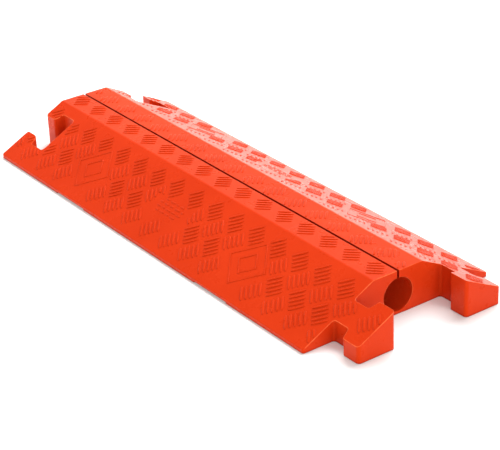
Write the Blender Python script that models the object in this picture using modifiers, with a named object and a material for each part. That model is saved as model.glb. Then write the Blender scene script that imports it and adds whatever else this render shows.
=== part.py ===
"""Cable protector ramp: a low drive-over ramp that covers one cable laid across a road.

Two ramp halves stand on either side of a round cable channel. A slit along the crown lets the cable
in, and a thin web under the channel is the living hinge that the halves open on. Every unit has two
T-shaped tongues at its +X end, which drop into the two T-shaped sockets of the next unit's -X end.

Metres, +Z up, +X along the cable. The origin is the middle of the bounding box's base.
"""
import math

import bmesh
import bpy
from mathutils import Matrix

INCH = 0.0254

# Driving dimensions of the cross-section.
LAY_LENGTH = 36 * INCH          # end face to end face, the length that one unit covers
HEIGHT = 3 * INCH               # base to crown, without the raised tread
HALF_WIDTH = 0.18565            # channel centre to toe
CROWN_HALF_WIDTH = 0.0486       # flat crown, up to where the slope would meet it
CROWN_RADIUS = 0.010            # rounding between the crown and the slope
TOE_HEIGHT = 0.007
CHANNEL_RADIUS = 0.0289
CHANNEL_HEIGHT = 0.0347         # channel centre above the base
SLIT_WIDTH = 0.0035
WEB_HALF_WIDTH = 0.009          # living hinge, from the channel centre to each half
GAP = 0.0003                    # between pieces that touch

# T-shaped tongue, in plan. Depths are measured outward from the end face.
TONGUE_REACH = 3 * INCH
TONGUE_CENTRE = 0.1060          # from the channel centre
NECK_HALF_WIDTH = 0.0195
NECK_DEPTH = 0.0344             # end face to the head's inner corner
HEAD_HALF_WIDTH = 0.0358
SHOULDER_DEPTH = 0.0405         # end face to the head's outer corner

# The socket is the tongue's shape with room round it.
SIDE_CLEARANCE = 0.0010
LIP_CLEARANCE = 0.0020

# Corner roundings, in plan.
TOE_CORNER = 0.004
TIP_CORNER = 0.006
HEAD_CORNER = 0.004
ROOT_CORNER = 0.005
NOSE_CORNER = 0.010             # where a socket's mouth turns into its lip

# Shallow lifting recesses under each toe.
LIFT_WIDTH = 3.5 * INCH
LIFT_HEIGHT = 0.0025
LIFT_DEPTH = 0.025
LIFT_CORNER = 0.005
LIFT_SPACING = 0.4284

# Cored pockets in the underside, in two rows a half.
SKIN = 0.012                    # measured straight down from the top surface
RIB = 0.010
POCKETS_PER_ROW = 8
SOCKET_WALL = 0.012             # material behind the sockets and before the end face
POCKET_ROWS = ((0.041, 0.098), (0.108, 0.150))
POCKET_ROUNDING = 0.004

MARGIN = 0.010                  # how far cutters run past what they cut
CHANNEL_STEPS = 20              # facets round one half of the channel
WEB_STEPS = 6
CORNER_STEPS = 4

SOCKET_END = -(LAY_LENGTH + TONGUE_REACH) / 2
TONGUE_END = SOCKET_END + LAY_LENGTH
SLOPE = (HEIGHT - TOE_HEIGHT) / (HALF_WIDTH - CROWN_HALF_WIDTH)

ORANGE = (0.86, 0.085, 0.018, 1.0)
WEB_ORANGE = (0.80, 0.075, 0.016, 1.0)


def clear_scene():
    for obj in list(bpy.data.objects):
        bpy.data.objects.remove(obj, do_unlink=True)


def new_collection(name):
    collection = bpy.data.collections.new(name)
    bpy.context.scene.collection.children.link(collection)
    return collection


def material(name, colour, roughness):
    mat = bpy.data.materials.new(name)
    mat.use_nodes = True
    shader = mat.node_tree.nodes["Principled BSDF"]
    shader.inputs["Base Color"].default_value = colour
    shader.inputs["Roughness"].default_value = roughness
    shader.inputs["Metallic"].default_value = 0.0
    mat.diffuse_color = colour
    return mat


def rounded(corners):
    """A closed outline whose corners, given as (x, y, radius), are turned into arcs."""
    outline = []
    for i, (x, y, radius) in enumerate(corners):
        if radius == 0:
            outline.append((x, y))
            continue
        before, after = corners[i - 1], corners[(i + 1) % len(corners)]
        heading_in = math.atan2(y - before[1], x - before[0])
        heading_out = math.atan2(after[1] - y, after[0] - x)
        turn = math.remainder(heading_out - heading_in, 2 * math.pi)
        setback = radius * math.tan(abs(turn) / 2)
        side = math.copysign(1, turn)
        centre_x = x - setback * math.cos(heading_in) - side * radius * math.sin(heading_in)
        centre_y = y - setback * math.sin(heading_in) + side * radius * math.cos(heading_in)
        for step in range(CORNER_STEPS + 1):
            heading = heading_in + turn * step / CORNER_STEPS
            outline.append((centre_x + side * radius * math.sin(heading),
                            centre_y - side * radius * math.cos(heading)))
    return outline


def prism(name, outline, low, high, collection, along_x=False):
    """A flat outline extruded from low to high: upward, or along X for an outline in Y and Z."""
    curve = bpy.data.curves.new(name, "CURVE")
    curve.dimensions = "2D"
    curve.fill_mode = "BOTH"
    curve.extrude = (high - low) / 2
    spline = curve.splines.new("POLY")
    spline.points.add(len(outline) - 1)
    for point, (u, v) in zip(spline.points, outline):
        point.co = (u, v, 0, 1)
    spline.use_cyclic_u = True
    flat = bpy.data.objects.new(name + "_outline", curve)
    collection.objects.link(flat)
    flat.location = (0, 0, (high + low) / 2)
    if along_x:
        flat.matrix_world = (Matrix.Translation(((high + low) / 2, 0, 0))
                             @ Matrix(((0, 0, 1, 0), (1, 0, 0, 0), (0, 1, 0, 0), (0, 0, 0, 1))))
    bpy.context.view_layer.update()
    evaluated = flat.evaluated_get(bpy.context.evaluated_depsgraph_get())
    mesh = bpy.data.meshes.new_from_object(evaluated)
    mesh.name = name
    mesh.transform(flat.matrix_world)
    bpy.data.objects.remove(flat, do_unlink=True)
    work = bmesh.new()
    work.from_mesh(mesh)
    bmesh.ops.remove_doubles(work, verts=work.verts, dist=0.00001)
    bmesh.ops.recalc_face_normals(work, faces=work.faces)
    work.to_mesh(mesh)
    work.free()
    solid = bpy.data.objects.new(name, mesh)
    collection.objects.link(solid)
    return solid


def cutter(name, outline, low, high, along_x=False):
    tool = prism(name, outline, low, high, bpy.data.collections["cutters"], along_x)
    tool.hide_render = True
    tool.display_type = "WIRE"
    return tool


def cut(body, tool, operation="DIFFERENCE"):
    boolean = body.modifiers.new(tool.name, "BOOLEAN")
    boolean.operation = operation
    boolean.solver = "EXACT"
    boolean.object = tool


def surface_height(y):
    """Height of the ramp's top, crown or slope, at a distance y from the channel centre."""
    return min(HEIGHT, HEIGHT - SLOPE * (y - CROWN_HALF_WIDTH))


def channel_arc(start_y, end_y, steps):
    """Points down the channel's wall, from beside the slit to beside the web."""
    start = math.acos(start_y / CHANNEL_RADIUS)
    end = -math.acos(end_y / CHANNEL_RADIUS)
    for step in range(steps + 1):
        angle = start + (end - start) * step / steps
        yield CHANNEL_RADIUS * math.cos(angle), CHANNEL_HEIGHT + CHANNEL_RADIUS * math.sin(angle)


def half_section():
    """Outline of one half in Y and Z, on the +Y side."""
    inner = WEB_HALF_WIDTH + GAP
    outside = rounded([
        (inner, 0, 0),
        (HALF_WIDTH, 0, 0),
        (HALF_WIDTH, TOE_HEIGHT, 0),
        (CROWN_HALF_WIDTH, HEIGHT, CROWN_RADIUS),
        (SLIT_WIDTH / 2, HEIGHT, 0),
    ])
    return outside + list(channel_arc(SLIT_WIDTH / 2, inner, CHANNEL_STEPS))


def tee(end, side_room, lip_room, inner_radius):
    """Corners of a T that starts at x = end and points to +X, widened all round for a socket."""
    neck = NECK_HALF_WIDTH + side_room
    head = HEAD_HALF_WIDTH + side_room
    near_x = end + NECK_DEPTH - lip_room
    shoulder_x = end + SHOULDER_DEPTH - lip_room
    tip_x = end + TONGUE_REACH + side_room
    low = [
        (end, TONGUE_CENTRE - neck, ROOT_CORNER),
        (near_x, TONGUE_CENTRE - neck, inner_radius),
        (shoulder_x, TONGUE_CENTRE - head, HEAD_CORNER),
        (tip_x, TONGUE_CENTRE - head, TIP_CORNER),
    ]
    high = [(x, 2 * TONGUE_CENTRE - y, radius) for x, y, radius in reversed(low)]
    return low + high


def half_plan():
    """Outline of one half in X and Y, on the +Y side: a socket at -X and a tongue at +X."""
    corners = [(SOCKET_END, -MARGIN, 0), (TONGUE_END, -MARGIN, 0)]
    corners += tee(TONGUE_END, 0, 0, ROOT_CORNER)
    corners += [(TONGUE_END, HALF_WIDTH, TOE_CORNER), (SOCKET_END, HALF_WIDTH, TOE_CORNER)]
    corners += reversed(tee(SOCKET_END, SIDE_CLEARANCE, LIP_CLEARANCE, NOSE_CORNER))
    return rounded(corners)


def mirrored(outline, axis, side):
    """The outline on the side asked for: +1 as it is, -1 with its Y values turned over."""
    if side > 0:
        return list(outline)
    return [(u, -v) if axis == 1 else (-u, v) for u, v in reversed(outline)]


def lifting_recess(name, centre_x, side):
    outline = rounded([
        (centre_x - LIFT_WIDTH / 2, HALF_WIDTH + MARGIN, 0),
        (centre_x - LIFT_WIDTH / 2, HALF_WIDTH - LIFT_DEPTH, LIFT_CORNER),
        (centre_x + LIFT_WIDTH / 2, HALF_WIDTH - LIFT_DEPTH, LIFT_CORNER),
        (centre_x + LIFT_WIDTH / 2, HALF_WIDTH + MARGIN, 0),
    ])
    return cutter(name, mirrored(outline, 1, side), -MARGIN, LIFT_HEIGHT)


def pocket_section(inner, outer):
    """Outline of a cored pocket in Y and Z, with its roof parallel to the ramp's top."""
    roof = [(outer, surface_height(outer) - SKIN)]
    if inner < CROWN_HALF_WIDTH:
        roof.append((CROWN_HALF_WIDTH, HEIGHT - SKIN))
    roof.append((inner, surface_height(inner) - SKIN))
    return [(inner, -MARGIN), (outer, -MARGIN)] + roof


def pocket_row(name, inner, outer, side):
    """One row of pockets: the first one's shape, repeated along X."""
    start = SOCKET_END + TONGUE_REACH + SIDE_CLEARANCE + SOCKET_WALL
    end = TONGUE_END - SOCKET_WALL
    pitch = (end - start + RIB) / POCKETS_PER_ROW
    outline = mirrored(pocket_section(inner, outer), 0, side)
    tool = cutter(name, outline, start, start + pitch - RIB, along_x=True)
    bevel = tool.modifiers.new("rounding", "BEVEL")
    bevel.width = POCKET_ROUNDING
    bevel.segments = 2
    bevel.limit_method = "ANGLE"
    bevel.angle_limit = math.radians(40)
    array = tool.modifiers.new("row", "ARRAY")
    array.count = POCKETS_PER_ROW
    array.use_relative_offset = False
    array.use_constant_offset = True
    array.constant_offset_displace = (pitch, 0, 0)
    return tool


def ramp_half(name, side, parts):
    """One ramp half, on the side of the channel given by the sign."""
    tongue_tip = TONGUE_END + TONGUE_REACH
    body = prism(name, mirrored(half_section(), 0, side),
                 SOCKET_END - MARGIN, tongue_tip + MARGIN, parts, along_x=True)
    plan = cutter(name + "_plan", mirrored(half_plan(), 1, side), -MARGIN, HEIGHT + MARGIN)
    cut(body, plan, "INTERSECT")
    middle = (SOCKET_END + TONGUE_END) / 2
    for number, offset in enumerate((-LIFT_SPACING / 2, LIFT_SPACING / 2), 1):
        cut(body, lifting_recess(f"{name}_lift_{number}", middle + offset, side))
    for number, (inner, outer) in enumerate(POCKET_ROWS, 1):
        cut(body, pocket_row(f"{name}_pockets_{number}", inner, outer, side))
    body.data.materials.append(material(name, ORANGE, 0.45))
    return body


def hinge_web(parts):
    """The thin strip under the channel that joins the halves and bends when they open."""
    start = -math.acos(WEB_HALF_WIDTH / CHANNEL_RADIUS)
    end = -math.pi - start
    outline = [(-WEB_HALF_WIDTH, 0), (WEB_HALF_WIDTH, 0)]
    for step in range(WEB_STEPS + 1):
        angle = start + (end - start) * step / WEB_STEPS
        outline.append((CHANNEL_RADIUS * math.cos(angle),
                        CHANNEL_HEIGHT + CHANNEL_RADIUS * math.sin(angle)))
    web = prism("hinge_web", outline, SOCKET_END, TONGUE_END, parts, along_x=True)
    web.data.materials.append(material("hinge_web", WEB_ORANGE, 0.5))
    return web


def build():
    clear_scene()
    parts = new_collection("cable_protector_ramp")
    new_collection("cutters")
    hinge_axis = bpy.data.objects.new("hinge_axis", None)
    hinge_axis.empty_display_type = "SINGLE_ARROW"
    hinge_axis.rotation_euler = (0, math.radians(90), 0)
    parts.objects.link(hinge_axis)
    ramp_half("near_ramp", -1, parts)
    far = ramp_half("far_ramp", 1, parts)
    hinge_web(parts)
    bpy.context.view_layer.update()
    far.parent = hinge_axis
    far.matrix_parent_inverse = hinge_axis.matrix_world.inverted()


build()
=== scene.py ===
"""Looks of the cable protector ramp: both moulded halves with their raised tread, the living hinge
under the channel, a plain floor, soft light and the camera. Metres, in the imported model's frame."""
import math

import bmesh
import bpy
from mathutils import Matrix, Vector


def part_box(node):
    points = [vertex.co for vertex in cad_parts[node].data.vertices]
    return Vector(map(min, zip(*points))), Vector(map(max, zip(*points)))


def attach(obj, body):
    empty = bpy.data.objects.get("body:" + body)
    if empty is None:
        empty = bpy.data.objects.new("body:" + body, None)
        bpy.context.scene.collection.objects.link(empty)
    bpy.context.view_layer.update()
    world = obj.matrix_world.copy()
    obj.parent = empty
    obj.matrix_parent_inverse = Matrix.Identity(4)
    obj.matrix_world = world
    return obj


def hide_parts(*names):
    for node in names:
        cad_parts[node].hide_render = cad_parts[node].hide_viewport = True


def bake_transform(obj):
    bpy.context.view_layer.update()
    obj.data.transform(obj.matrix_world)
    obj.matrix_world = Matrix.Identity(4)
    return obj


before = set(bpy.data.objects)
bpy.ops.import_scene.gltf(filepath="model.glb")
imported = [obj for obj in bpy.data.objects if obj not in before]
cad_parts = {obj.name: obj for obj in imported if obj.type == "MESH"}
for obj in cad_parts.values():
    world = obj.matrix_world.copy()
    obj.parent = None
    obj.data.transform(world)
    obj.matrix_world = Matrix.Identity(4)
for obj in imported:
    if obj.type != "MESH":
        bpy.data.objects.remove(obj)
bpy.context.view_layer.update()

NEAR, FAR = -1, 1               # side of the channel, as the sign of Y
BODIES = {NEAR: "near_half", FAR: "far_half"}
NODES = {NEAR: "near_ramp", FAR: "far_ramp"}

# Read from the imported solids.
SOCKET_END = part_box("near_ramp")[0].x
TONGUE_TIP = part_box("near_ramp")[1].x
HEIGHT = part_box("near_ramp")[1].z
HALF_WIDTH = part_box("far_ramp")[1].y
RAMP_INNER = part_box("far_ramp")[0].y            # the slit's wall
TONGUE_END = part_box("hinge_web")[1].x
WEB_HALF_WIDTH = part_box("hinge_web")[1].y

# Shape of the section and of the T connectors, as in the solids.
CROWN_HALF_WIDTH = 0.0486
TOE_HEIGHT = 0.007
CHANNEL_RADIUS = 0.0289
CHANNEL_HEIGHT = 0.0347
TONGUE_CENTRE = 0.1060
NECK_HALF_WIDTH = 0.0195
HEAD_HALF_WIDTH = 0.0358
NECK_DEPTH = 0.0344
SHOULDER_DEPTH = 0.0405
SIDE_CLEARANCE = 0.0010
LIP_CLEARANCE = 0.0020

LAY_LENGTH = TONGUE_END - SOCKET_END
MIDDLE = (TONGUE_END + SOCKET_END) / 2
TONGUE_REACH = TONGUE_TIP - TONGUE_END
SLOPE_RUN = HALF_WIDTH - CROWN_HALF_WIDTH
SLOPE_DROP = HEIGHT - TOE_HEIGHT
SLOPE_LENGTH = math.hypot(SLOPE_RUN, SLOPE_DROP)
SLOPE_COS = SLOPE_RUN / SLOPE_LENGTH
SLOPE_SIN = SLOPE_DROP / SLOPE_LENGTH
TOE_DISTANCE = CROWN_HALF_WIDTH + SLOPE_LENGTH  # from the channel's middle, along the surface

# Bringing the copied halves up to the hinge web.
SEAM_GAP = 0.0003               # between the web and each half, in the solids
SEAM_GAP_LEFT = 0.00001         # what is left of it here
MERGE_DISTANCE = 0.000005       # corners closer than this become one
WALL_TOLERANCE = 0.00002        # a corner this close to the seam's wall is on it
BASE_TOLERANCE = 0.001          # a corner lower than this is on the base
SEAM_TOLERANCE = 0.0002         # an edge this close to the web is at the seam
WEB_COLUMNS = 16                # strips across the web
WEB_STATIONS = 24               # and along it

# Moulded edges.
EDGE_RADIUS = 0.0011
EDGE_SEGMENTS = 3
EDGE_ANGLE = math.radians(40)   # edges sharper than this are rounded
FLAT_ANGLE = math.radians(0.2)  # faces flatter than this are joined first
CREASE_ANGLE = math.radians(38)                 # edges sharper than this stay sharp in the shading
LARGE_FACES_FIRST = 100         # the shading follows the large faces, not the narrow roundings
EDGE_MARK = "edge"              # 1 on exposed rounded edges, for the wear and the painted highlight in the material
SLIT_SHADE_MARK = "slit_shade"            # 1 on the walls of the slit, where shade is painted into the colour

# Raised forms.
FOOT_DEPTH = 0.0008             # how far each one reaches into the ramp
FOOT_SPREAD = 1.1               # half width of the foot, as a share of the form's
# Across a raised form, from -1 to 1: the offset, and the share of its full height there.
PROFILE = ((-1.0, 0.0), (-0.78, 0.55), (-0.58, 0.90), (-0.38, 1.0),
           (0.38, 1.0), (0.58, 0.90), (0.78, 0.55), (1.0, 0.0))

# Parquet tread: square tiles of parallel bars, turned 45 degrees, each across the next.
TILE_PITCH = LAY_LENGTH / 16
ROW_PITCH = TILE_PITCH / 2
BARS = 5
BAR_PITCH = TILE_PITCH / math.sqrt(2) / BARS
BAR_LENGTH = 0.0280
BAR_HALF_WIDTH = 0.0025
BAR_HEIGHT = 0.0013
BAR_SHORTEST = 0.011            # a stretch shorter than this is left out
BAR_STEPS = 56                  # steps along a bar, to find where it is clear
# Along a bar, from -1 to 1: the place, and the share of its full width and height there.
BAR_STATIONS = ((-1.0, 0.30), (-0.94, 0.58), (-0.80, 0.82), (-0.50, 0.97), (0.0, 1.0),
                (0.50, 0.97), (0.80, 0.82), (0.94, 0.58), (1.0, 0.30))
# Distances from the channel's middle to the middle of a row, along the surface.
CROWN_ROW = 0.0212
FIRST_SLOPE_ROW = 0.0826
SLOPE_ROWS = 4
# Room between a bar's middle line and what it stays clear of.
OUTLINE_MARGIN = 0.0034
FEATURE_MARGIN = 0.0045
SLIT_MARGIN = 0.0042

# Emblems: two on each slope, a little outside the tiles' grid.
EMBLEM_TILES = 4                # tiles from the ramp's middle to an emblem
EMBLEM_PLACES = (MIDDLE - EMBLEM_TILES * TILE_PITCH - 0.002,    # along X
                 MIDDLE + EMBLEM_TILES * TILE_PITCH + 0.005)
EMBLEM_DISTANCE = 0.1310
EMBLEM_HALF_DIAGONAL = 0.0465
EMBLEM_INNER_DIAGONAL = 0.0220
EMBLEM_TILE_MARGIN = 0.004      # a tile whose middle is this far inside is left out
RIDGE_HALF_WIDTH = 0.0014
RIDGE_HEIGHT = 0.0008
MITRE_LIMIT = 0.3               # keeps a sharp corner of a ridge from running out to a spike

# Panel of dashes in the middle of each slope.
PANEL_HALF_LENGTH = 0.0470
PANEL_TOP = 0.1040
PANEL_BOTTOM = 0.1390
PANEL_TILE_ROOM = 0.010         # tiles whose middle is this close below it are left out too
# Distance of each row from the channel's middle, and the lengths of its dashes in millimetres.
DASH_ROWS = ((0.1080, (9, 13, 7, 10)), (0.1165, (8, 12, 9, 15, 6)),
             (0.1250, (10, 7, 14, 8, 11)), (0.1335, (7, 12, 9, 13)))
MILLIMETRE = 0.001
DASH_GAP = 0.0040
DASH_HALF_WIDTH = 0.0017
DASH_HEIGHT = 0.0007

# Polyurethane.
DEEP_ORANGE = (0.545, 0.031, 0.0045)
LIGHT_ORANGE = (0.600, 0.037, 0.0060)
# Lighter orange on exposed edges: wear, and a painted highlight along them.
WORN_AND_HIGHLIGHT_ORANGE = (0.95, 0.190, 0.070)
SCRATCHED_ORANGE = (0.80, 0.10, 0.04)
# Dark red painted onto the slit's walls as shade.
SLIT_SHADE_COLOUR = (0.25, 0.005, 0.0008)
SPECULAR_TINT = (1.0, 0.25, 0.08, 1.0)
SPECULAR_LEVEL = 0.16
IOR = 1.5
CORNER_SHADE_REACH = 0.0045          # how near another surface has to be for a corner to get painted shade
CORNER_SHADE_SAMPLES = 8
STREAK_SQUEEZE = 0.05           # a scratch's width, as a share of its length
STREAK_ANGLE = 0.35
GRAIN_HEIGHT = 0.0002
FLOW_HEIGHT = 0.0012
RELIEF_STRENGTH = 0.10

# Floor.
FLOOR_SIZE = 24
FLOOR_DROP = 0.0004             # below the base, so that the two never share a plane
FLOOR_GREY = (0.80, 0.80, 0.80, 1.0)
FLOOR_ROUGHNESS = 0.8
FLOOR_SPECULAR = 0.1
FLOOR_GLOW = 0.15               # lifts the floor to the white of a lit paper sweep
WHITE = (1.0, 1.0, 1.0, 1.0)

# Light. The directions are heights on a unit sphere.
HORIZON_LIGHT = (2.30, 2.10, 1.50, 1.0)
SKY_LIGHT = (0.40, 0.39, 0.37, 1.0)
HORIZON_TOP = 0.06
SKY_BOTTOM = 0.22
WARM = (1.0, 0.90, 0.60)

# Camera, at the photograph's angle.
AZIMUTH = math.radians(55.01)
ELEVATION = math.radians(27.20)
ROLL = math.radians(-2.61)
CAMERA_TARGET = Vector((-0.0061, 0.0266, -0.0213))
CAMERA_DISTANCE = 3.0768
SENSOR_WIDTH = 36
FOCAL_LENGTH = 128.2


def surface_point(x, distance, side, lift=0.0):
    """The point on the ramp's top at a distance from the channel, measured along the surface."""
    run = max(0.0, distance - CROWN_HALF_WIDTH)
    if run == 0.0:
        return Vector((x, side * distance, HEIGHT + lift))
    y = CROWN_HALF_WIDTH + run * SLOPE_COS + lift * SLOPE_SIN
    z = HEIGHT - run * SLOPE_SIN + lift * SLOPE_COS
    return Vector((x, side * y, z))


def level_distance(distance):
    """How far from the channel a point is seen from above, from its distance along the surface."""
    return min(distance, CROWN_HALF_WIDTH + max(0.0, distance - CROWN_HALF_WIDTH) * SLOPE_COS)


def new_object(name, mesh):
    obj = bpy.data.objects.new(name, mesh)
    bpy.context.scene.collection.objects.link(obj)
    return obj


def to_object(name, work):
    mesh = bpy.data.meshes.new(name)
    bmesh.ops.recalc_face_normals(work, faces=work.faces)
    work.to_mesh(mesh)
    work.free()
    return new_object(name, mesh)


# ---------------------------------------------------------------- tread layout

def tee_half_width(depth, side_room, lip_room):
    """Half width of the T connector at a depth from the end face, or None past its tip."""
    near = NECK_DEPTH - lip_room
    shoulder = SHOULDER_DEPTH - lip_room
    if depth < near:
        return NECK_HALF_WIDTH + side_room
    if depth > TONGUE_REACH + side_room:
        return None
    share = min(1.0, (depth - near) / (shoulder - near))
    return NECK_HALF_WIDTH + share * (HEAD_HALF_WIDTH - NECK_HALF_WIDTH) + side_room


def on_top(x, distance):
    """Whether a point is on the ramp's top, clear of its outline."""
    margin = OUTLINE_MARGIN
    if distance < SLIT_MARGIN or distance > TOE_DISTANCE - margin:
        return False
    if x < SOCKET_END + margin:
        return False
    off_centre = abs(level_distance(distance) - TONGUE_CENTRE)
    socket = tee_half_width(x - SOCKET_END - margin, SIDE_CLEARANCE + margin, LIP_CLEARANCE + margin)
    if socket is not None and off_centre < socket:
        return False
    if x <= TONGUE_END - margin:
        return True
    tongue = tee_half_width(x - TONGUE_END, -margin, -margin)
    return tongue is not None and off_centre <= tongue


def off_features(x, distance):
    """Whether a point is clear of the emblems and the panel."""
    reach = EMBLEM_HALF_DIAGONAL + FEATURE_MARGIN * math.sqrt(2)
    for centre in EMBLEM_PLACES:
        if abs(x - centre) + abs(distance - EMBLEM_DISTANCE) < reach:
            return False
    beside_panel = abs(x - MIDDLE) < PANEL_HALF_LENGTH + FEATURE_MARGIN
    return not (beside_panel and PANEL_TOP < distance < PANEL_BOTTOM)


def clear_runs(x, distance, along, length):
    """The stretches of a bar's middle line that lie on the tread, as (start, end)."""
    runs = []
    start = None
    for step in range(BAR_STEPS + 1):
        t = (step / BAR_STEPS - 0.5) * length
        here_x, here_distance = x + along[0] * t, distance + along[1] * t
        inside = on_top(here_x, here_distance) and off_features(here_x, here_distance)
        if inside and start is None:
            start = t
        if start is not None and (not inside or step == BAR_STEPS):
            if t - start >= BAR_SHORTEST:
                runs.append((start, t))
            start = None
    return runs


def tile_bars(x, distance, slant):
    """The bars of one tile, as (x, distance, direction, length). A lone bar is left out."""
    root = math.sqrt(0.5)
    along = (root, slant * root)
    across = (root, -slant * root)
    bars = []
    for number in range(BARS):
        shift = (number - (BARS - 1) / 2) * BAR_PITCH
        bar_x, bar_distance = x + across[0] * shift, distance + across[1] * shift
        for start, end in clear_runs(bar_x, bar_distance, along, BAR_LENGTH):
            middle = (start + end) / 2
            bars.append((bar_x + along[0] * middle, bar_distance + along[1] * middle,
                         along, end - start))
    return bars if len(bars) > 1 else []


def omitted(x, distance):
    """A tile whose middle lies on an emblem or the panel is left out whole."""
    reach = EMBLEM_HALF_DIAGONAL - EMBLEM_TILE_MARGIN
    for centre in EMBLEM_PLACES:
        if abs(x - centre) + abs(distance - EMBLEM_DISTANCE) < reach:
            return True
    bottom = PANEL_BOTTOM + PANEL_TILE_ROOM
    return abs(x - MIDDLE) < PANEL_HALF_LENGTH and PANEL_TOP < distance < bottom


def tread_rows(side):
    """The rows of tiles on one half, as (distance, slant, shift in tiles). Bars with slant -1 come
    nearer to the channel going +X."""
    rows = []
    for row in range(SLOPE_ROWS):
        slant, shift = (-1, 0.5) if row % 2 == 0 else (1, 0.0)
        rows.append((FIRST_SLOPE_ROW + row * ROW_PITCH, slant, shift))
    rows.append((CROWN_ROW, -1, 0.5 if side == NEAR else 0.0))
    return rows


def tread_bars(side):
    """Every bar on one half."""
    first = math.floor((SOCKET_END - MIDDLE) / TILE_PITCH) - 1
    last = math.ceil((TONGUE_TIP - MIDDLE) / TILE_PITCH) + 1
    for distance, slant, shift in tread_rows(side):
        for number in range(first, last + 1):
            x = MIDDLE + (number + shift) * TILE_PITCH
            if not omitted(x, distance):
                yield from tile_bars(x, distance, slant)


# ---------------------------------------------------------------- raised forms

def dome(half_width, height):
    """Cross-section of a raised form: sloping flanks and a flat top, its foot sunk in the ramp."""
    points = [(-half_width * FOOT_SPREAD, -FOOT_DEPTH)]
    points += [(half_width * offset, height * lift) for offset, lift in PROFILE]
    points.append((half_width * FOOT_SPREAD, -FOOT_DEPTH))
    return points


def loft(work, rings, closed):
    """Skins rings of vertices into a closed body: a strip with end caps, or a closed band."""
    count = len(rings[0])
    pairs = list(zip(rings, rings[1:]))
    if closed:
        pairs.append((rings[-1], rings[0]))
    for ring, following in pairs:
        for i in range(count):
            j = (i + 1) % count
            work.faces.new((ring[i], ring[j], following[j], following[i]))
    if not closed:
        work.faces.new(rings[0][::-1])
        work.faces.new(rings[-1])


def add_bar(work, side, x, distance, along, length, half_width=BAR_HALF_WIDTH, height=BAR_HEIGHT):
    """One bar with rounded ends, along the surface."""
    rings = []
    for place, swell in BAR_STATIONS:
        t = place * length / 2
        ring = []
        for offset, lift in dome(half_width * swell, height * swell):
            point = surface_point(x + along[0] * t - along[1] * offset,
                                  distance + along[1] * t + along[0] * offset, side, lift)
            ring.append(work.verts.new(point))
        rings.append(ring)
    loft(work, rings, closed=False)


def add_ridge(work, side, corners):
    """A raised line along a closed outline of (x, distance) corners, mitred at each one."""
    rings = []
    for i, (x, distance) in enumerate(corners):
        before = Vector(corners[i - 1])
        here = Vector((x, distance))
        after = Vector(corners[(i + 1) % len(corners)])
        heading_in = (here - before).normalized()
        heading_out = (after - here).normalized()
        mitre = Vector((-heading_in.y - heading_out.y, heading_in.x + heading_out.x)).normalized()
        stretch = 1 / max(MITRE_LIMIT, mitre.dot(Vector((-heading_in.y, heading_in.x))))
        ring = []
        for offset, lift in dome(RIDGE_HALF_WIDTH, RIDGE_HEIGHT):
            at = here + mitre * (offset * stretch)
            ring.append(work.verts.new(surface_point(at.x, at.y, side, lift)))
        rings.append(ring)
    loft(work, rings, closed=True)


def add_emblem(work, side, x):
    """A plain diamond frame with a smaller one in it."""
    distance = EMBLEM_DISTANCE
    for reach in (EMBLEM_HALF_DIAGONAL - RIDGE_HALF_WIDTH, EMBLEM_INNER_DIAGONAL):
        add_ridge(work, side, [(x + reach, distance), (x, distance + reach),
                               (x - reach, distance), (x, distance - reach)])


def add_panel(work, side):
    """Rows of plain raised dashes in the middle of the slope."""
    for distance, lengths in DASH_ROWS:
        x = MIDDLE - (sum(lengths) * MILLIMETRE + DASH_GAP * (len(lengths) - 1)) / 2
        for length in lengths:
            span = length * MILLIMETRE
            add_bar(work, side, x + span / 2, distance, (1.0, 0.0), span,
                    half_width=DASH_HALF_WIDTH, height=DASH_HEIGHT)
            x += span + DASH_GAP


def add_raised_forms(work, side):
    """All that stands proud of one half's top, as closed bodies with their feet in the ramp."""
    for x, distance, along, length in tread_bars(side):
        add_bar(work, side, x, distance, along, length)
    for x in EMBLEM_PLACES:
        add_emblem(work, side, x)
    add_panel(work, side)


# ---------------------------------------------------------------- moulded bodies

def channel_floor(y):
    """Height of the channel's wall above a point beside its middle."""
    return CHANNEL_HEIGHT - math.sqrt(CHANNEL_RADIUS ** 2 - y ** 2)


def at_seam(edge):
    """An edge where a half meets the hinge web stays sharp, so that the two read as one piece."""
    return all(abs(abs(v.co.y) - WEB_HALF_WIDTH) < SEAM_TOLERANCE
               and v.co.z < channel_floor(WEB_HALF_WIDTH) + SEAM_TOLERANCE for v in edge.verts)


def round_edges(work):
    """Rounds every sharp edge except those at the seam, and marks the roundings that show."""
    mark = work.faces.layers.float.new(EDGE_MARK)
    sharp = [e for e in work.edges
             if len(e.link_faces) == 2 and e.calc_face_angle(0) > EDGE_ANGLE and not at_seam(e)]
    rounded = bmesh.ops.bevel(work, geom=sharp, offset=EDGE_RADIUS, segments=EDGE_SEGMENTS,
                              profile=0.5, affect="EDGES", clamp_overlap=True)
    for face in rounded["faces"]:
        middle = face.calc_center_median()
        off_slit = abs(middle.y) > RAMP_INNER + 2 * EDGE_RADIUS
        off_base = middle.z > TOE_HEIGHT + 2 * EDGE_RADIUS
        face[mark] = 1.0 if off_slit and off_base else 0.0


def mark_slit_shade(work):
    """Marks the slit's walls, which get painted shade."""
    slit_shade = work.faces.layers.float.new(SLIT_SHADE_MARK)
    for face in work.faces:
        in_slit = abs(face.calc_center_median().y) < RAMP_INNER + EDGE_RADIUS / 3
        face[slit_shade] = 1.0 if in_slit else 0.0


def close_seam(work, side):
    """Moves the wall that faces the hinge web up to it."""
    wall = WEB_HALF_WIDTH + SEAM_GAP
    for v in work.verts:
        if abs(abs(v.co.y) - wall) < WALL_TOLERANCE and v.co.z < CHANNEL_HEIGHT:
            v.co.y = side * (WEB_HALF_WIDTH + SEAM_GAP_LEFT)
            if v.co.z > BASE_TOLERANCE:
                v.co.z = channel_floor(WEB_HALF_WIDTH)


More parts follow.
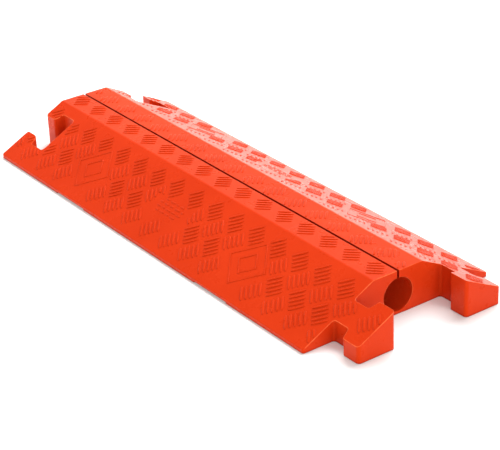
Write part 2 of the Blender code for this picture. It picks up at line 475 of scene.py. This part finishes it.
def moulded_half(side):
    """A copy of the half's solid up to the hinge web, with rounded edges and its raised forms."""
    work = bmesh.new()
    work.from_mesh(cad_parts[NODES[side]].data)
    bmesh.ops.remove_doubles(work, verts=work.verts, dist=MERGE_DISTANCE)
    close_seam(work, side)
    bmesh.ops.dissolve_limit(work, angle_limit=FLAT_ANGLE, verts=work.verts, edges=work.edges)
    round_edges(work)
    mark_slit_shade(work)
    add_raised_forms(work, side)
    return to_object(NODES[side] + "_moulded", work)


def finish_shading(obj):
    obj.data.polygons.foreach_set("use_smooth", [True] * len(obj.data.polygons))
    obj.data.set_sharp_from_angle(angle=CREASE_ANGLE)
    weighted = obj.modifiers.new("weighted_normals", "WEIGHTED_NORMAL")
    weighted.keep_sharp = True
    weighted.weight = LARGE_FACES_FIRST


def ramp_half(side, look):
    body = moulded_half(side)
    finish_shading(body)
    body.data.materials.append(look)
    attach(body, BODIES[side])
    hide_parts(NODES[side])


def hinge_web(look):
    """The strip that bends: fine across its width, so that it curves smoothly."""
    work = bmesh.new()
    ys = [WEB_HALF_WIDTH * (2 * column / WEB_COLUMNS - 1) for column in range(WEB_COLUMNS + 1)]
    sections = []
    for station in range(WEB_STATIONS + 1):
        x = SOCKET_END + LAY_LENGTH * station / WEB_STATIONS
        ring = [work.verts.new((x, y, 0)) for y in ys]
        ring += [work.verts.new((x, y, channel_floor(y))) for y in reversed(ys)]
        sections.append(ring)
    loft(work, sections, closed=False)
    bmesh.ops.recalc_face_normals(work, faces=work.faces)
    round_edges(work)
    web = to_object("hinge_web_bend", work)
    finish_shading(web)
    web.data.materials.append(look)
    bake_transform(web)
    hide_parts("hinge_web")


# ---------------------------------------------------------------- materials

class Recipe:
    """Small helpers for one material's nodes."""

    def __init__(self, name):
        self.material = bpy.data.materials.new(name)
        self.material.use_nodes = True
        self.nodes = self.material.node_tree.nodes
        self.links = self.material.node_tree.links
        self.shader = self.nodes["Principled BSDF"]
        self.place = self.nodes.new("ShaderNodeTexCoord").outputs["Object"]

    def noise(self, scale, detail, roughness=0.5, place=None):
        node = self.nodes.new("ShaderNodeTexNoise")
        node.inputs["Scale"].default_value = scale
        node.inputs["Detail"].default_value = detail
        node.inputs["Roughness"].default_value = roughness
        self.links.new(place or self.place, node.inputs["Vector"])
        return node.outputs["Fac"]

    def scratches(self, scale, angle):
        """Long thin streaks: noise stretched along one direction."""
        turn = self.nodes.new("ShaderNodeMapping")
        turn.inputs["Rotation"].default_value = (0, 0, angle)
        turn.inputs["Scale"].default_value = (scale, scale * STREAK_SQUEEZE, scale)
        self.links.new(self.place, turn.inputs["Vector"])
        return self.noise(scale=1.0, detail=4.0, roughness=0.7, place=turn.outputs["Vector"])

    def remap(self, source, span, result):
        """Turns a span of values, (low, high), into another. Values outside it are clamped."""
        node = self.nodes.new("ShaderNodeMapRange")
        node.inputs["From Min"].default_value, node.inputs["From Max"].default_value = span
        node.inputs["To Min"].default_value, node.inputs["To Max"].default_value = result
        self.links.new(source, node.inputs["Value"])
        return node.outputs["Result"]

    def math(self, operation, first, second):
        """Combines two values, each a socket or a number."""
        node = self.nodes.new("ShaderNodeMath")
        node.operation = operation
        for source, socket in zip((first, second), node.inputs):
            if isinstance(source, float):
                socket.default_value = source
            else:
                self.links.new(source, socket)
        return node.outputs["Value"]

    def mix(self, factor, first, second, blend="MIX"):
        """Mixes two colours, each a socket or an (r, g, b)."""
        node = self.nodes.new("ShaderNodeMix")
        node.data_type = "RGBA"
        node.blend_type = blend
        if isinstance(factor, float):
            node.inputs["Factor"].default_value = factor
        else:
            self.links.new(factor, node.inputs["Factor"])
        for source, socket in ((first, node.inputs["A"]), (second, node.inputs["B"])):
            if isinstance(source, tuple):
                socket.default_value = (*source, 1.0)
            else:
                self.links.new(source, socket)
        return node.outputs["Result"]

    def mark(self, name):
        node = self.nodes.new("ShaderNodeAttribute")
        node.attribute_name = name
        return node.outputs["Fac"]

    def painted_corner_shade(self):
        """1 in the open, falling to 0 in tight corners: the mask of the shade painted into corners.
        """
        node = self.nodes.new("ShaderNodeAmbientOcclusion")
        node.samples = CORNER_SHADE_SAMPLES
        node.inputs["Distance"].default_value = CORNER_SHADE_REACH
        return node.outputs["AO"]

    def bump(self, height, distance, under=None):
        """Relief from a height map, on top of another relief if one is given."""
        node = self.nodes.new("ShaderNodeBump")
        node.inputs["Strength"].default_value = RELIEF_STRENGTH
        node.inputs["Distance"].default_value = distance
        self.links.new(height, node.inputs["Height"])
        if under is not None:
            self.links.new(under, node.inputs["Normal"])
        return node.outputs["Normal"]


def skin_colour(look, streak):
    """Slow drift and fine speckle, then worn edges with a painted highlight, scratches, painted shade
    in corners and painted shade on the slit's walls.
    """
    drift = look.remap(look.noise(scale=9.0, detail=3.0), (0.3, 0.7), (0.0, 1.0))
    colour = look.mix(drift, DEEP_ORANGE, LIGHT_ORANGE)
    speckle = look.remap(look.noise(scale=1100.0, detail=2.0), (0.35, 0.65), (0.96, 1.04))
    colour = look.mix(1.0, colour, speckle, "MULTIPLY")
    patches = look.noise(scale=60.0, detail=5.0, roughness=0.65)
    # Patches that set how strongly edges show wear and painted highlight, and how dark the slit's
    # painted shade is.
    wear_and_painted_light = look.remap(patches, (0.35, 0.65), (0.25, 0.9))
    # Worn edges, lightened further as a painted highlight.
    edge = look.math("MULTIPLY", look.mark(EDGE_MARK), wear_and_painted_light)
    colour = look.mix(edge, colour, WORN_AND_HIGHLIGHT_ORANGE)
    colour = look.mix(streak, colour, SCRATCHED_ORANGE)
    # Painted shade: tight corners and the feet of the raised forms are darkened in the colour.
    corner_shade = look.remap(look.painted_corner_shade(), (0.45, 0.95), (0.50, 1.0))
    colour = look.mix(1.0, colour, corner_shade, "MULTIPLY")
    # Painted shade on the slit's walls, a little uneven from patch to patch.
    slit_shade_strength = look.remap(wear_and_painted_light, (0.25, 0.9), (0.98, 0.90))
    slit_shade = look.math("MULTIPLY", look.mark(SLIT_SHADE_MARK), slit_shade_strength)
    return look.mix(slit_shade, colour, SLIT_SHADE_COLOUR)


def skin_roughness(look, streak):
    """Satin with soft cloudy patches, rougher where it is scratched."""
    clouds = look.noise(scale=26.0, detail=5.0, roughness=0.62)
    satin = look.remap(clouds, (0.3, 0.7), (0.25, 0.33))
    return look.math("ADD", satin, look.math("MULTIPLY", streak, 0.6))


def skin_relief(look):
    """A fine moulded grain, and faint flow marks over it."""
    grain = look.bump(look.noise(scale=1400.0, detail=3.0), GRAIN_HEIGHT)
    return look.bump(look.noise(scale=38.0, detail=2.0), FLOW_HEIGHT, grain)


def polyurethane(name):
    """Orange cast polyurethane: satin skin, a fine moulded grain, faint flow marks, worn edges with a
    painted highlight, and painted shade in corners and in the slit.
    """
    look = Recipe(name)
    streak = look.remap(look.scratches(160.0, STREAK_ANGLE), (0.68, 0.78), (0.0, 0.16))
    inputs = look.shader.inputs
    look.links.new(skin_colour(look, streak), inputs["Base Color"])
    look.links.new(skin_roughness(look, streak), inputs["Roughness"])
    look.links.new(skin_relief(look), inputs["Normal"])
    inputs["Specular IOR Level"].default_value = SPECULAR_LEVEL
    inputs["IOR"].default_value = IOR
    inputs["Specular Tint"].default_value = SPECULAR_TINT
    return look.material


def floor_material():
    mat = bpy.data.materials.new("pale_floor")
    mat.use_nodes = True
    shader = mat.node_tree.nodes["Principled BSDF"]
    shader.inputs["Base Color"].default_value = FLOOR_GREY
    shader.inputs["Roughness"].default_value = FLOOR_ROUGHNESS
    shader.inputs["Emission Color"].default_value = WHITE
    shader.inputs["Emission Strength"].default_value = FLOOR_GLOW
    shader.inputs["Specular IOR Level"].default_value = FLOOR_SPECULAR
    return mat


# ---------------------------------------------------------------- stage, light and camera

def floor():
    bpy.ops.mesh.primitive_plane_add(size=FLOOR_SIZE, location=(0, 0, -FLOOR_DROP))
    plane = bpy.context.active_object
    plane.name = "floor"
    plane.data.materials.append(floor_material())


def softbox(name, location, size, power, mirrored=False):
    """An area light that faces the ramp. Only a mirrored one shows in the ramp's sheen."""
    data = bpy.data.lights.new(name, "AREA")
    data.shape = "RECTANGLE"
    data.size, data.size_y = size
    data.energy = power
    lamp = new_object(name, data)
    lamp.visible_glossy = mirrored
    lamp.location = location
    lamp.rotation_mode = "QUATERNION"
    lamp.rotation_quaternion = (-Vector(location)).to_track_quat("-Z", "Y")
    return lamp


def surroundings():
    """Bright at the horizon, like a lit paper sweep, and dim above it."""
    world = bpy.data.worlds.new("studio")
    bpy.context.scene.world = world
    world.use_nodes = True
    nodes, links = world.node_tree.nodes, world.node_tree.links
    direction = nodes.new("ShaderNodeTexCoord").outputs["Generated"]
    split = nodes.new("ShaderNodeSeparateXYZ")
    rise = nodes.new("ShaderNodeMapRange")
    rise.interpolation_type = "SMOOTHSTEP"
    rise.inputs["From Min"].default_value = HORIZON_TOP
    rise.inputs["From Max"].default_value = SKY_BOTTOM
    sky = nodes.new("ShaderNodeMix")
    sky.data_type = "RGBA"
    sky.inputs["A"].default_value = HORIZON_LIGHT
    sky.inputs["B"].default_value = SKY_LIGHT
    links.new(direction, split.inputs["Vector"])
    links.new(split.outputs["Z"], rise.inputs["Value"])
    links.new(rise.outputs["Result"], sky.inputs["Factor"])
    links.new(sky.outputs["Result"], nodes["Background"].inputs["Color"])


def studio_light():
    surroundings()
    softbox("overhead_softbox", location=(-0.6, 1.6, 2.55), size=(3.2, 2.0), power=178)
    softbox("right_softbox", location=(3.2, -0.8, 0.9), size=(2.6, 1.6), power=47)
    softbox("left_softbox", location=(-2.2, -2.5, 1.3), size=(3.0, 2.0), power=35)
    back = softbox("back_softbox", location=(-2.6, 1.8, 1.6), size=(2.4, 1.4), power=6, mirrored=True)
    back.data.color = WARM


def camera():
    data = bpy.data.cameras.new("camera")
    data.sensor_width = SENSOR_WIDTH
    data.lens = FOCAL_LENGTH
    cam = new_object("camera", data)
    back = Vector((math.sin(AZIMUTH) * math.cos(ELEVATION),
                   -math.cos(AZIMUTH) * math.cos(ELEVATION), math.sin(ELEVATION)))
    level = (-back).to_track_quat("-Z", "Y").to_matrix()
    cam.matrix_world = (Matrix.Translation(CAMERA_TARGET + back * CAMERA_DISTANCE)
                        @ (level @ Matrix.Rotation(ROLL, 3, "Z")).to_4x4())
    bpy.context.scene.camera = cam


def build():
    near_look = polyurethane("near_polyurethane")
    far_look = polyurethane("far_polyurethane")
    web_look = polyurethane("web_polyurethane")
    ramp_half(NEAR, near_look)
    ramp_half(FAR, far_look)
    hinge_web(web_look)
    floor()
    studio_light()
    camera()
    bpy.context.scene.view_settings.view_transform = "Standard"


build()
